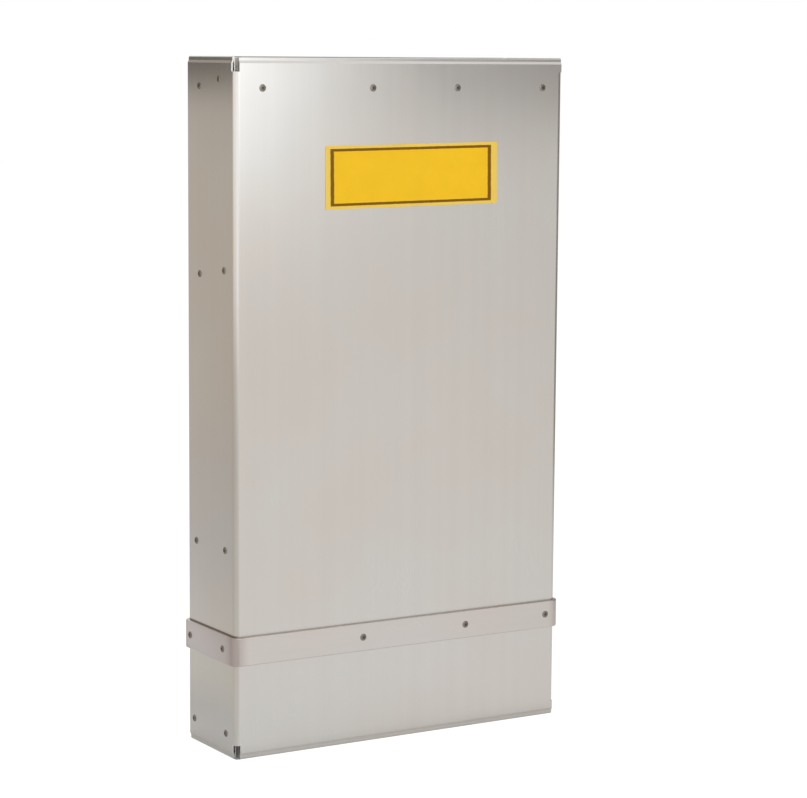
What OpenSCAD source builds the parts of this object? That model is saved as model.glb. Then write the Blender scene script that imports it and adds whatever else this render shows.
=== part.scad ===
// Feed chute for U-shaped fluorescent lamps.
// A flat box of stainless sheet, open at both ends. The lower end drops into the inlet of a lamp crusher and
// stops on a riveted strap. Two rubber flaps inside the mouth close it round the lamp.
// Origin: centre of the lower rim. +Z up, front faces -Y.

/* [Chute] */
// Width across the sides
chute_w = 336; // [240:1:420]
// Depth from front face to back face
chute_d = 92; // [80:1:140]
// Height from lower rim to upper rim
chute_h = 610; // [520:1:800]
// Thickness of the sheet
sheet_t = 1.2; // [0.8:0.1:1.5]
// Outside radius of the vertical bends
bend_r = 5; // [3.5:0.1:5.5]

/* [Rims] */
// Height of the leaf that is folded inside at each rim
hem_h = 12.7; // [10:0.1:14]
// Space left inside the fold
hem_gap = 0.2; // [0.1:0.05:0.4]
// Straight lip between the rim and the joggle
lip_h = 3.4; // [2.5:0.1:4.5]
// Height of the joggle's slope
joggle_h = 2.2; // [1:0.1:3]
// How far the joggle sets the lip back
joggle_in = 1; // [0.4:0.1:1.4]
// Relief slot on each side wall, measured from the corner
relief_side = 5.5; // [5.5:0.1:8]
// Distance from the right side's face to the end of the front hem, which runs on over that corner
hem_stop = 1.5; // [1:0.1:3]

/* [Seam] */
// Distance from the back face to the free edge of the front shell's sides
side_stop = 4.2; // [4:0.1:5]
// Distance from the front face to the free edge of the rear shell's flanges
flange_stop = 6; // [5:0.5:8]
// Clearance between sheets that nest
nest_gap = 0.05; // [0.02:0.01:0.1]
// Distance from the relief slots to the ends of the flanges
flange_end = 0.8; // [0.4:0.1:2]

/* [Stop collar] */
// Length of chute below the collar, which goes into the inlet
spigot_h = 84; // [60:1:120]
// Height of the strap
collar_h = 25.4; // [20:0.1:32]
// Thickness of the strap
collar_t = 3.2; // [2:0.1:4]
// Slit where the strap's ends meet at the back
collar_slit = 2; // [1:0.5:4]

/* [Rivets] */
// Diameter of the rivet's body
rivet_d = 3.2; // [2.8:0.1:3.6]
// Diameter of the domed head
rivet_head_d = 6.4; // [5.5:0.1:7]
// Height of the domed head
rivet_head_h = 1; // [0.8:0.1:1.4]
// Diameter of the formed end inside
rivet_tail_d = 4.8; // [4.2:0.1:5]
// Length of the formed end inside
rivet_tail_h = 3.4; // [2.5:0.1:4]
// Diameter of the pit where the mandrel broke off
rivet_bore_d = 1.8; // [1.4:0.1:2.2]
// Depth of the pit
rivet_bore_h = 0.7; // [0.5:0.1:1.2]
// Clearance of the body in its hole, on the radius
rivet_clear = 0.05; // [0.02:0.01:0.1]
// Outer mouth rivets, distances from the left side and from the right side
mouth_rivet_ends = [27, 22];
// Inner mouth rivets, distances from the middle
mouth_rivet_mids = [-32, 55];
// Drop from the upper rim to the mouth rivets
mouth_rivet_drop = 26.5; // [26:0.5:32]
// Front collar rivets, distances from the middle
collar_front_mids = [-41, 67];
// Last front collar rivet, distance from the right side
collar_front_end = 13; // [12:1:30]
// Rear collar rivets beside the slit, distances from the middle
collar_rear_mids = [-16, 16];
// Outer rear collar rivets, distance from the sides
collar_rear_end = 23; // [12:1:40]
// Side collar rivets, distances from the front face and from the back face
collar_side_in = [18, 11];
// Front column of side rivets, distances from the front face, from the bottom up
side_front_in = [18, 19, 20, 29];
// Rear column of side rivets, distances from the back face, from the bottom up
side_rear_in = [13, 18, 26, 26];
// Height of the lowest side rivets above the lower rim
side_low = 20.5; // [20:0.5:30]
// Drop from the upper rim to the highest side rivets, front column and rear column
side_drop = [19.5, 25.5];
// Pitch from the end rows to the rows between
side_pitch = 163; // [140:1:200]

/* [Mouth seal] */
// Height of the angle's leg against the wall
angle_leg = 20; // [18:0.5:24]
// Reach of the angle's ledge from the wall
angle_ledge = 14; // [12:0.5:16]
// Thickness of the angle
angle_t = 1.5; // [1:0.1:2]
// Thickness of the rubber
rubber_t = 3; // [2:0.5:3]
// Space between each flap and the inside of a side wall
flap_side_gap = 5.5; // [5:0.5:8]
// Slit between the two flaps
flap_slit = 1; // [0.6:0.1:3]
// Running gap between a flap and its clamped root
flap_run = 0.4; // [0.3:0.1:0.8]
// Width of the clamp strip
strip_w = 10; // [9:0.5:10]
// Thickness of the clamp strip
strip_t = 1.5; // [1:0.1:2]
// Distance from the ledge's free edge to the clamp strip
strip_back = 0.3; // [0.2:0.1:0.5]
// How much shorter the clamp strip is than the flap, at each end
strip_inset = 2; // [1:0.5:6]
// Number of rivets through each clamp strip
strip_rivets = 5; // [3:1:7]
// Distance from the strip's end to its last rivet
strip_rivet_end = 18; // [10:1:30]

/* [Notice plate] */
// Width of the plate
plate_w = 177; // [120:1:200]
// Height of the plate
plate_h = 55; // [40:1:80]
// Thickness of the plate
plate_t = 0.4; // [0.3:0.1:1]
// Corner radius of the plate
plate_r = 1.5; // [0.5:0.5:5]
// Margins outside the border, at the sides and at the top and bottom
plate_margin = [6.5, 3.4];
// Width of the border's lines, at the sides and at the top and bottom
border_w = [3, 2];
// Thickness of the border's ink
border_t = 0.1; // [0.05:0.05:0.3]
// Offset of the plate's centre from the middle of the front
plate_x = 9; // [-15:1:15]
// Drop from the upper rim to the plate's centre
plate_drop = 103; // [80:1:200]
// Tilt of the plate, as it was stuck on
plate_tilt = 0.6; // [-2:0.1:2]

/* [Hidden] */

$fn = 48;
cut = 1;               // overrun of every cut

half_w = chute_w / 2;
half_d = chute_d / 2;

// Rear shell: it nests inside the front shell's sides.
rear_w = chute_w - 2 * (sheet_t + nest_gap);
rear_d = chute_d - flange_stop;
flange_in = rear_w / 2 - sheet_t;      // inside face of a flange, from the middle
relief_front = bend_r;                 // relief slot on the front and back walls

// Heights of the rows
mouth_row_z = chute_h - mouth_rivet_drop;
collar_row_z = spigot_h + collar_h / 2;

// Rivet rows along the front and the back, from left to right
mouth_rivet_x = concat([-half_w + mouth_rivet_ends[0]], mouth_rivet_mids, [half_w - mouth_rivet_ends[1]]);
collar_front_x = concat(collar_front_mids, [half_w - collar_front_end]);
collar_rear_x = concat([-half_w + collar_rear_end], collar_rear_mids, [half_w - collar_rear_end]);

function side_rows(drop) = [
    side_low,
    side_low + side_pitch,
    chute_h - drop - side_pitch,
    chute_h - drop
];

// Mouth seal, measured from the inside face of the wall
wall_in = sheet_t + nest_gap;
ledge_z = mouth_row_z + angle_leg / 2;            // top of the ledge
ledge_end = wall_in + angle_ledge;                // free edge of the ledge, from the outside face
angle_r = 2 * angle_t;                            // outside radius of the angle's bend
angle_len = rear_w - 2 * bend_r;                  // it ends where the rear shell's bends begin
flap_w = 2 * (flange_in - flap_side_gap);
flap_axis_y = ledge_end + rubber_t / 2 + flap_run;
flap_axis_z = ledge_z + rubber_t / 2;
strip_y = ledge_end - strip_w / 2 - strip_back;   // middle of the clamp strip
strip_len = flap_w - 2 * strip_inset;
strip_pitch = (strip_len - 2 * strip_rivet_end) / (strip_rivets - 1);
strip_rivet_x = [for (i = [0 : strip_rivets - 1]) -strip_len / 2 + strip_rivet_end + i * strip_pitch];

stainless = "#b9b5ae";
strap_steel = "#bdb9b2";
rivet_metal = "#a9a6a0";
rubber = "#26262a";
yellow = "#f5c21b";
border_ink = "#6b4a08";

function arc(x, y, r, from, to, steps = 6) =
    [for (i = [0 : steps]) let (a = from + (to - from) * i / steps) [x + r * cos(a), y + r * sin(a)]];

// Turns what is drawn for the front half round to the rear half.
module at_rear() {
    rotate([0, 0, 180]) children();
}

// Outline that is rounded at its two front corners and open-ended behind.
module rounded_front(w, d, r) {
    translate([-w / 2, r]) square([w, d - r]);
    translate([-w / 2 + r, 0]) square([w - 2 * r, d - r]);
    for (side = [-1, 1]) {
        translate([side * (w / 2 - r), r]) circle(r);
    }
}

// Plan of a channel bent from one sheet: its web lies along y = 0 and its flanges point to +Y.
module channel_plan(w, d, r) {
    difference() {
        rounded_front(w, d, r);
        translate([0, sheet_t]) rounded_front(w - 2 * sheet_t, d, r - sheet_t);
    }
}

// Section of one hemmed rim. x is the distance in from the outside face and y the height above the relief's end.
module hem_section() {
    fold_in = hem_gap / 2;
    fold_out = sheet_t + fold_in;
    fold_x = joggle_in + fold_out;
    fold_y = hem_h - fold_out;
    slope_top = hem_h - lip_h;
    slope_end = slope_top - joggle_h;
    turn = sheet_t * tan(atan(joggle_in / joggle_h) / 2);      // keeps the sheet's thickness round the joggle
    polygon(concat(
        [[0, 0], [0, slope_end], [joggle_in, slope_top]],
        arc(fold_x, fold_y, fold_out, 180, 0),
        [[fold_x + fold_out, 0], [fold_x + fold_in, 0]],
        arc(fold_x, fold_y, fold_in, 0, 180),
        [[joggle_in + sheet_t, slope_top - turn], [sheet_t, slope_end - turn], [sheet_t, 0]]
    ));
}

// Hemmed rim of one wall, from x = 0 to x = length, with the outside face on y = 0 and the rim upwards.
module hem_run(length) {
    rotate([90, 0, 90]) linear_extrude(length) hem_section();
}

// The same run at the top and at the bottom of the chute.
module at_both_rims() {
    translate([0, 0, chute_h - hem_h]) children();
    translate([0, 0, hem_h]) mirror([0, 0, 1]) children();
}

// Blind rivet. The head lies on z = 0 facing +Z, and grip is what it holds together.
module rivet(grip) {
    head_r = rivet_head_d / 2;
    body_r = rivet_d / 2;
    tail_r = rivet_tail_d / 2;
    bore_r = rivet_bore_d / 2;
    barrel_h = rivet_tail_h * 0.3;               // up to where the formed end is widest
    end_r = tail_r / 2;
    dome_r = (head_r * head_r + rivet_head_h * rivet_head_h) / (2 * rivet_head_h);
    dome_a = asin(head_r / dome_r);
    bore_a = asin(bore_r / dome_r);
    bore_z = rivet_head_h - rivet_bore_h;
    rotate_extrude() polygon(concat(
        [[0, bore_z], [bore_r, bore_z]],
        arc(0, rivet_head_h - dome_r, dome_r, 90 - bore_a, 90 - dome_a),
        [[body_r, 0], [body_r, -grip]],
        [[tail_r - 0.3, -grip], [tail_r, -grip - barrel_h]],
        arc(0, -grip - rivet_tail_h + end_r, end_r, -20, -90, 4)
    ));
}

module rivet_hole(depth) {
    translate([0, 0, -depth]) cylinder(r = rivet_d / 2 + rivet_clear, h = depth + cut);
}

// Places a child, drawn with its outside towards +Z, on the front face.
module on_front(x, z, out = 0) {
    translate([x, -half_d - out, z]) rotate([90, 0, 0]) children();
}

// Places a child, drawn with its outside towards +Z, on the left face. inset is the distance from the front face.
module on_left(inset, z, out = 0) {
    translate([-half_w - out, -half_d + inset, z]) rotate([0, -90, 0]) children();
}

module mirrored_right() {
    mirror([1, 0, 0]) children();
}

// Rivet patterns, drawn on the front and left faces.
module mouth_pattern() {
    for (x = mouth_rivet_x) on_front(x, mouth_row_z) children();
}

module collar_front_pattern() {
    for (x = collar_front_x) on_front(x, collar_row_z, collar_t + nest_gap) children();
}

module collar_rear_pattern() {
    at_rear() for (x = collar_rear_x) on_front(x, collar_row_z, collar_t + nest_gap) children();
}

module collar_left_pattern() {
    on_left(collar_side_in[0], collar_row_z, collar_t + nest_gap) children();
    on_left(chute_d - collar_side_in[1], collar_row_z, collar_t + nest_gap) children();
}

module left_front_pattern() {
    rows = side_rows(side_drop[0]);
    for (i = [0 : 3]) on_left(side_front_in[i], rows[i]) children();
}

module left_rear_pattern() {
    rows = side_rows(side_drop[1]);
    for (i = [0 : 3]) on_left(chute_d - side_rear_in[i], rows[i]) children();
}

// Every hole through the left wall and the flange behind it.
module left_holes() {
    depth = 2 * (sheet_t + nest_gap) + cut;
    left_front_pattern() rivet_hole(depth);
    left_rear_pattern() rivet_hole(depth);
    collar_left_pattern() rivet_hole(depth + collar_t);
}

module side_holes() {
    left_holes();
    mirrored_right() left_holes();
}

module front_shell() {
    side_len = chute_d - side_stop;
    color(stainless) difference() {
        union() {
            translate([0, -half_d, hem_h])
                linear_extrude(chute_h - 2 * hem_h) channel_plan(chute_w, side_len, bend_r);
            at_both_rims() {
                translate([-half_w + relief_front, -half_d, 0]) hem_run(chute_w - relief_front - hem_stop);
                for (side = [0, 1]) mirror([side, 0, 0])
                    translate([-half_w, half_d - side_stop, 0])
                        rotate([0, 0, -90]) hem_run(side_len - relief_side);
            }
        }
        mouth_pattern() rivet_hole(sheet_t + cut);
        collar_front_pattern() rivet_hole(collar_t + sheet_t + cut);
        side_holes();
    }
}

module rear_shell() {
    flange_z = hem_h + flange_end;
    color(stainless) difference() {
        union() {
            at_rear() {
                translate([0, -half_d, flange_z])
                    linear_extrude(chute_h - 2 * flange_z) channel_plan(rear_w, rear_d, bend_r);
                translate([-rear_w / 2 + relief_front, -half_d, hem_h])
                    cube([rear_w - 2 * relief_front, sheet_t, chute_h - 2 * hem_h]);
                at_both_rims()
                    translate([-rear_w / 2 + relief_front, -half_d, 0]) hem_run(rear_w - 2 * relief_front);
            }
        }
        at_rear() mouth_pattern() rivet_hole(sheet_t + cut);
        collar_rear_pattern() rivet_hole(collar_t + sheet_t + cut);
        side_holes();
    }
}

module stop_collar() {
    inner_w = chute_w + 2 * nest_gap;
    inner_d = chute_d + 2 * nest_gap;
    outer_w = inner_w + 2 * collar_t;
    outer_d = inner_d + 2 * collar_t;
    color(strap_steel) difference() {
        translate([0, 0, spigot_h]) linear_extrude(collar_h) difference() {
            rounded_plate(outer_w, outer_d, bend_r + collar_t);
            rounded_plate(inner_w, inner_d, bend_r);
            translate([-collar_slit / 2, inner_d / 2 - cut]) square([collar_slit, collar_t + 2 * cut]);
        }
        collar_front_pattern() rivet_hole(collar_t + cut);
        collar_rear_pattern() rivet_hole(collar_t + cut);
        collar_left_pattern() rivet_hole(collar_t + cut);
        mirrored_right() collar_left_pattern() rivet_hole(collar_t + cut);
    }
}

module rounded_plate(w, h, r) {
    square([w, h - 2 * r], center = true);
    square([w - 2 * r, h], center = true);
    for (x = [-1, 1], y = [-1, 1]) {
        translate([x * (w / 2 - r), y * (h / 2 - r)]) circle(r);
    }
}

// Places a child, drawn in the plate's own plane, on the front face.
module at_plate(out) {
    on_front(plate_x, chute_h - plate_drop, out) rotate([0, 0, plate_tilt]) children();
}

module notice_plate() {
    color(yellow) at_plate(0) linear_extrude(plate_t) rounded_plate(plate_w, plate_h, plate_r);
}

module notice_border() {
    border = [plate_w - 2 * plate_margin[0], plate_h - 2 * plate_margin[1]];
    color(border_ink) at_plate(plate_t) linear_extrude(border_t) difference() {
        square(border, center = true);
        square(border - 2 * border_w, center = true);
    }
}

// Angle inside the mouth: its leg lies against the wall and its ledge carries the flap.
module seal_angle() {
    color(stainless) difference() {
        translate([-angle_len / 2, -half_d + wall_in, ledge_z - angle_leg])
            rotate([90, 0, 90]) linear_extrude(angle_len) difference() {
                union() {
                    square([angle_t, angle_leg - angle_r]);
                    translate([angle_r, angle_leg - angle_t]) square([angle_ledge - angle_r, angle_t]);
                    translate([angle_r, angle_leg - angle_r]) intersection() {
                        circle(angle_r);
                        translate([-angle_r, 0]) square(angle_r);
                    }
                }
                translate([angle_r, angle_leg - angle_r]) circle(angle_r - angle_t);
            }
        mouth_pattern() rivet_hole(wall_in + angle_t + cut);
        clamp_pattern() rivet_hole(strip_t + rubber_t + angle_t + cut);
    }
}

// Clamp rivets stand on the clamp strip, head up.
module clamp_pattern() {
    for (x = strip_rivet_x)
        translate([x, -half_d + strip_y, ledge_z + rubber_t + strip_t]) children();
}

module flap_root() {
    root_from = wall_in + angle_r;
    color(rubber) difference() {
        translate([-flap_w / 2, -half_d + root_from, ledge_z])
            cube([flap_w, ledge_end - root_from, rubber_t]);
        clamp_pattern() rivet_hole(strip_t + rubber_t + cut);
    }
}

// Free part of a flap. Its root is round about the line that it bends along.
module mouth_flap() {
    reach = half_d - flap_axis_y - flap_slit / 2;
    color(rubber) translate([-flap_w / 2, -half_d + flap_axis_y, flap_axis_z]) {
        rotate([0, 90, 0]) cylinder(r = rubber_t / 2, h = flap_w);
        translate([0, 0, -rubber_t / 2]) cube([flap_w, reach, rubber_t]);
    }
}

module clamp_strip() {
    color(stainless) difference() {
        translate([-strip_len / 2, -half_d + strip_y - strip_w / 2, ledge_z + rubber_t])
            cube([strip_len, strip_w, strip_t]);
        clamp_pattern() rivet_hole(strip_t + cut);
    }
}

module mouth_rivets() {
    color(rivet_metal) mouth_pattern() rivet(wall_in + angle_t);
}

module clamp_rivets() {
    color(rivet_metal) clamp_pattern() rivet(strip_t + rubber_t + angle_t);
}

module left_front_rivets() {
    color(rivet_metal) left_front_pattern() rivet(2 * sheet_t + nest_gap);
}

module left_rear_rivets() {
    color(rivet_metal) left_rear_pattern() rivet(2 * sheet_t + nest_gap);
}

module left_collar_rivets() {
    color(rivet_metal) collar_left_pattern() rivet(collar_t + 2 * (sheet_t + nest_gap));
}

module front_collar_rivets() {
    color(rivet_metal) collar_front_pattern() rivet(collar_t + nest_gap + sheet_t);
}

module rear_collar_rivets() {
    color(rivet_metal) collar_rear_pattern() rivet(collar_t + nest_gap + sheet_t);
}

front_shell();
rear_shell();
stop_collar();
notice_plate();
notice_border();
seal_angle();  // seal_angle_front
at_rear() seal_angle();  // seal_angle_rear
flap_root();  // flap_root_front
at_rear() flap_root();  // flap_root_rear
mouth_flap();  // mouth_flap_front
at_rear() mouth_flap();  // mouth_flap_rear
clamp_strip();  // clamp_strip_front
at_rear() clamp_strip();  // clamp_strip_rear
mouth_rivets();  // mouth_rivets_front
at_rear() mouth_rivets();  // mouth_rivets_rear
clamp_rivets();  // clamp_rivets_front
at_rear() clamp_rivets();  // clamp_rivets_rear
left_front_rivets();  // left_rivets_front
left_rear_rivets();  // left_rivets_rear
mirrored_right() left_front_rivets();  // right_rivets_front
mirrored_right() left_rear_rivets();  // right_rivets_rear
front_collar_rivets();  // collar_rivets_front
rear_collar_rivets();  // collar_rivets_rear
left_collar_rivets();  // collar_rivets_left
mirrored_right() left_collar_rivets();  // collar_rivets_right
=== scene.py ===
"""Feed chute for U-shaped fluorescent lamps: brushed stainless sheet, riveted, with a rubber seal in its mouth."""

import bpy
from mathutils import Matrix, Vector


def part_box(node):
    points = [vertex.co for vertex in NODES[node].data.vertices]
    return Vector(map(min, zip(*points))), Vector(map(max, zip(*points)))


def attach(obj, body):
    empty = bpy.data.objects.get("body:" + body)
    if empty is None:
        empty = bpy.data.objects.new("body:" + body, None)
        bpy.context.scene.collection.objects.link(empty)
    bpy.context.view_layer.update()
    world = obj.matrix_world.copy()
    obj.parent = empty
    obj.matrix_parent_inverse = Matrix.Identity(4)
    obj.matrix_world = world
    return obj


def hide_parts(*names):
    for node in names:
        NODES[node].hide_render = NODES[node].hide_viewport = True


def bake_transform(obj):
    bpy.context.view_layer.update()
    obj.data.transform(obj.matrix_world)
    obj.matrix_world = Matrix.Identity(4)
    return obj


bl_info = {
    "name": "Lamp feed chute",
    "version": (1, 0, 0),
    "blender": (4, 5, 0),
    "location": "3D View > Sidebar > Chute",
    "description": "Finishes the pieces of a riveted feed chute and sets its stage",
    "category": "Object",
}

import math
import random

import bpy
from bpy.props import FloatProperty, FloatVectorProperty, IntProperty, PointerProperty
from mathutils import Matrix, Vector

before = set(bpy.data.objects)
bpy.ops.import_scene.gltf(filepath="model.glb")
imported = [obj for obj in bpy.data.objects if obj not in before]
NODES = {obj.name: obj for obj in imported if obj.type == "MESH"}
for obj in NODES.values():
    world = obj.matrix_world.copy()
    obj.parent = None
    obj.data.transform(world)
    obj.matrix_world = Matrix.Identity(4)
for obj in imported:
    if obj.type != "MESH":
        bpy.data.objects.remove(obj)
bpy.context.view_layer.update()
MM = 0.001
# Nearly all of a noise texture's values lie between these two.
SPREAD = {"From Min": 0.3, "From Max": 0.7}


def linear(hex_colour):
    """Linear red, green and blue of an sRGB hex colour such as c8c2ba."""
    parts = [int(hex_colour[i:i + 2], 16) / 255 for i in (0, 2, 4)]
    return tuple(c / 12.92 if c <= 0.04045 else ((c + 0.055) / 1.055) ** 2.4 for c in parts)


def colour(label, about, hex_colour):
    return FloatVectorProperty(name=label, description=about, subtype="COLOR", min=0, max=1,
                               default=linear(hex_colour))


def length(label, about, mm):
    return FloatProperty(name=label, description=about, default=mm * MM, min=0, subtype="DISTANCE", unit="LENGTH")


def share(label, about, value):
    return FloatProperty(name=label, description=about, default=value, min=0, max=1, subtype="FACTOR")


# ---------------------------------------------------------------- settings

class SheetFinish(bpy.types.PropertyGroup):
    """Colours and surface of the stainless pieces."""
    sheet: colour("Sheet", "Colour of the brushed sheet", "cbc6c1")
    angle: colour("Angle", "Colour of the seal's angles and strips", "b9b5ae")
    roughness: share("Roughness", "Roughness of the brushed sheet", 0.3)
    grain: length("Grain", "Distance between the brush marks", 2)
    panel: length("Panel", "Distance between the shallow waves in the panels", 150)


class StrapFinish(bpy.types.PropertyGroup):
    """Shape and colour of the stop collar's flat bar."""
    thickness: length("Thickness", "Thickness of the bar", 3.2)
    slit: length("Slit", "Slit where the bar's ends meet at the back", 2)
    bend: length("Bend", "Inside radius of the bar's four bends", 5)
    edge: length("Edge", "Rounding of the bar's outer edges", 1.1)
    bar: colour("Bar", "Colour of the flat bar", "cac3be")


class RivetFinish(bpy.types.PropertyGroup):
    """Shape and colour of the blind rivets."""
    head: length("Head", "Diameter of the domed head", 6.4)
    dome: length("Dome", "Height of the domed head", 1)
    shank: length("Shank", "Diameter of the body", 3.2)
    tail: length("Tail", "Diameter of the formed end inside", 4.8)
    tail_length: length("Tail length", "Length of the formed end inside", 3.4)
    pit: length("Pit", "Diameter of the pit where the mandrel broke off", 1.8)
    sides: IntProperty(name="Sides", description="Faces round each rivet", default=28, min=12, max=64)
    metal: colour("Metal", "Colour of the dulled rivet", "a0978e")
    grime_and_shade: colour("Pit shade", "Colour of the grime round the pit", "7c7168")
    # This colour is painted shade round the pit.
    stub: colour("Mandrel", "Colour of the broken steel mandrel", "5a5149")


class SealFinish(bpy.types.PropertyGroup):
    """Shape and colour of the two rubber flaps."""
    bend: length("Bend", "Length of rubber that bends beyond the ledge", 7)
    bevel: length("Edge", "Rounding of the cut edges", 0.35)
    free: length("Free part", "Length beyond the ledge at which the sag is measured", 30)
    sag: length("Sag", "How far the free part ripples and sags", 0.5)
    rubber: colour("Rubber", "Colour of the black rubber", "2a2a2b")
    bloom: colour("Bloom", "Colour of the dusty bloom on the rubber", "5b5a58")


class PlateFinish(bpy.types.PropertyGroup):
    """The blank notice plate."""
    tilt: FloatProperty(name="Tilt", description="How far the plate was stuck on askew",
                        default=math.radians(0.6), subtype="ANGLE", unit="ROTATION")
    corner: length("Corner", "Radius of the plate's corners", 1.5)
    loose: length("Loose corner", "How far the unstuck part of the film reaches from one corner", 16)
    lift: length("Lift", "How far the loose corner stands off the sheet", 0.5)
    margin_side: length("Side margin", "Mean margin outside the border at the sides", 5.6)
    margin_top: length("Top margin", "Margin outside the border at the top and bottom", 2.6)
    stray: length("Off centre", "How far the print sits to the left of the plate's middle", 0.8)
    line_side: length("Side line", "Width of the border's line at the sides", 3.6)
    line_top: length("Top line", "Width of the border's line at the top and bottom", 2.35)
    field: colour("Field", "Colour inside the border", "f5c21b")
    rim: colour("Rim", "Colour of the margin outside the border", "efcb57")
    ink: colour("Ink", "Colour of the border", "7c5200")


class Studio(bpy.types.PropertyGroup):
    """Floor, lamps, grey cards and camera."""
    lens: FloatProperty(name="Lens", description="Focal length on a 36 mm wide sensor",
                        default=116.25, min=10, subtype="DISTANCE_CAMERA", unit="CAMERA")
    yaw: FloatProperty(name="Yaw", description="Turn of the camera from the depth axis",
                       default=0.54543, subtype="ANGLE", unit="ROTATION")
    pitch: FloatProperty(name="Pitch", description="Downward tilt of the camera",
                         default=0.13253, subtype="ANGLE", unit="ROTATION")
    roll: FloatProperty(name="Roll", description="Roll of the camera",
                        default=0.00727, subtype="ANGLE", unit="ROTATION")
    place: FloatVectorProperty(name="Place", description="Where the camera stands",
                               default=(-1.19294, -2.01368, 0.615), subtype="TRANSLATION", unit="LENGTH")
    ambient: FloatProperty(name="Ambient", description="Strength of the even light all round", default=0.62, min=0)
    key: FloatProperty(name="Key", description="Power of the soft key lamp", default=40, min=0,
                       subtype="POWER", unit="POWER")


# ---------------------------------------------------------------- shared tools

def piece(context):
    """The object that the last operator made."""
    return context.view_layer.objects.active


def start_fresh():
    """Leaves edit mode and deselects everything, so that an operator acts on the new piece alone."""
    if bpy.context.object and bpy.context.object.mode != "OBJECT":
        bpy.ops.object.mode_set(mode="OBJECT")
    bpy.ops.object.select_all(action="DESELECT")


def edit():
    """Opens the active piece in edit mode."""
    bpy.ops.object.mode_set(mode="EDIT")


def leave():
    """Goes back to object mode, which stores what was edited."""
    bpy.ops.object.mode_set(mode="OBJECT")


def choose(obj, kind, wanted):
    """Selects the vertices of a piece that wanted() accepts by their place, or the edges, by their two ends."""
    bpy.ops.mesh.select_mode(type=kind)
    bpy.ops.mesh.select_all(action="DESELECT")
    leave()
    mesh = obj.data
    for part in mesh.vertices if kind == "VERT" else mesh.edges:
        ends = [part.index] if kind == "VERT" else part.vertices
        part.select = wanted(*(mesh.vertices[i].co for i in ends))
    edit()


def finish_piece(obj, name, material, body, replaced, smooth=30):
    """Names a piece, gives it its material, ties it to its body, and hides the nodes that it stands for."""
    start_fresh()
    obj.name = obj.data.name = name
    obj.select_set(True)
    bpy.context.view_layer.objects.active = obj
    bpy.ops.object.shade_smooth_by_angle(angle=math.radians(smooth))
    obj.data.materials.clear()
    obj.data.materials.append(material)
    if body:
        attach(obj, body)
    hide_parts(*replaced)
    return obj


def add(tree, kind, inputs=None, stops=None, **settings):
    """Adds a shader node with its settings and links. An input is a plain value, a socket, or a node, whose first
    live output is then linked. Stops are the places and colours of a colour ramp."""
    made = tree.nodes.new(kind)
    for name, value in settings.items():
        setattr(made, name, value)
    for name, value in (inputs or {}).items():
        into = made.inputs[name] if isinstance(name, int) else next(
            socket for socket in made.inputs if socket.enabled and socket.name == name)
        if isinstance(value, bpy.types.Node):
            value = next(socket for socket in value.outputs if socket.enabled)
        if isinstance(value, bpy.types.NodeSocket):
            tree.links.new(value, into)
        else:
            into.default_value = value
    for i, (place, value) in enumerate(stops or []):
        band = made.color_ramp.elements
        element = band[i] if i < 2 else band.new(place)
        element.position, element.color = place, (*value, 1)
    return made


def new_material(name):
    """A material with an empty node tree."""
    made = bpy.data.materials.new(name)
    made.use_nodes = True
    made.node_tree.nodes.clear()
    return made, made.node_tree


# ---------------------------------------------------------------- materials

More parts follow.
